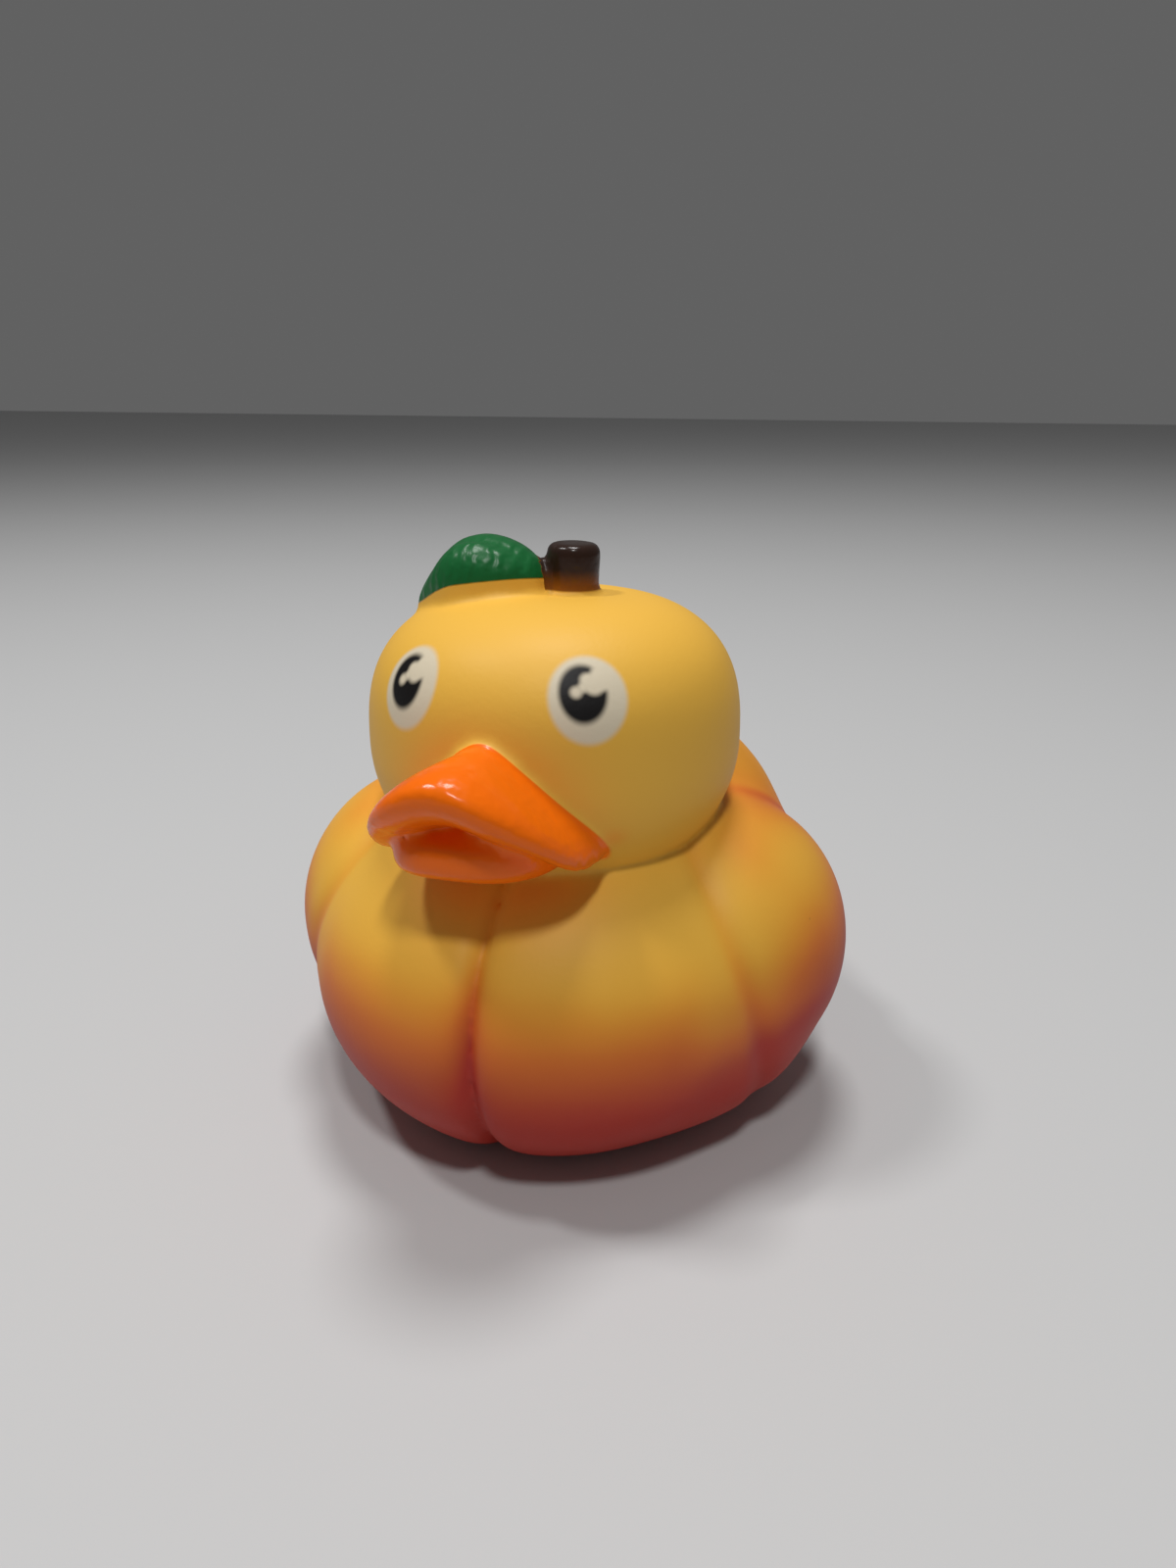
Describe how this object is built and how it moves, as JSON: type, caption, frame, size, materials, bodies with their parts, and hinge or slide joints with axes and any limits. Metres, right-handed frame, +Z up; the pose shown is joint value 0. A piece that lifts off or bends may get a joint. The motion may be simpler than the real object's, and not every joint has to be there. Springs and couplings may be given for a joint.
{
  "type": "rubber duck",
  "caption": "Hollow soft vinyl bath duck with a fruit-shaped head, stem and leaf on top, open bill, wing lobes and raised tail.",
  "frame": {"origin": "middle of the bounding box, on the surface that the flat base rests on", "axes": "+Z up, -Y the way the duck faces, +X its left side"},
  "size_m": [0.0488, 0.049, 0.0484],
  "materials": {
    "vinyl": "matte soft vinyl, yellow with a red-pink blush, orange bill, green leaf and brown stem painted on"
  },
  "bodies": {
    "root": {"duck_body": "vinyl"}
  },
  "joints": []
}
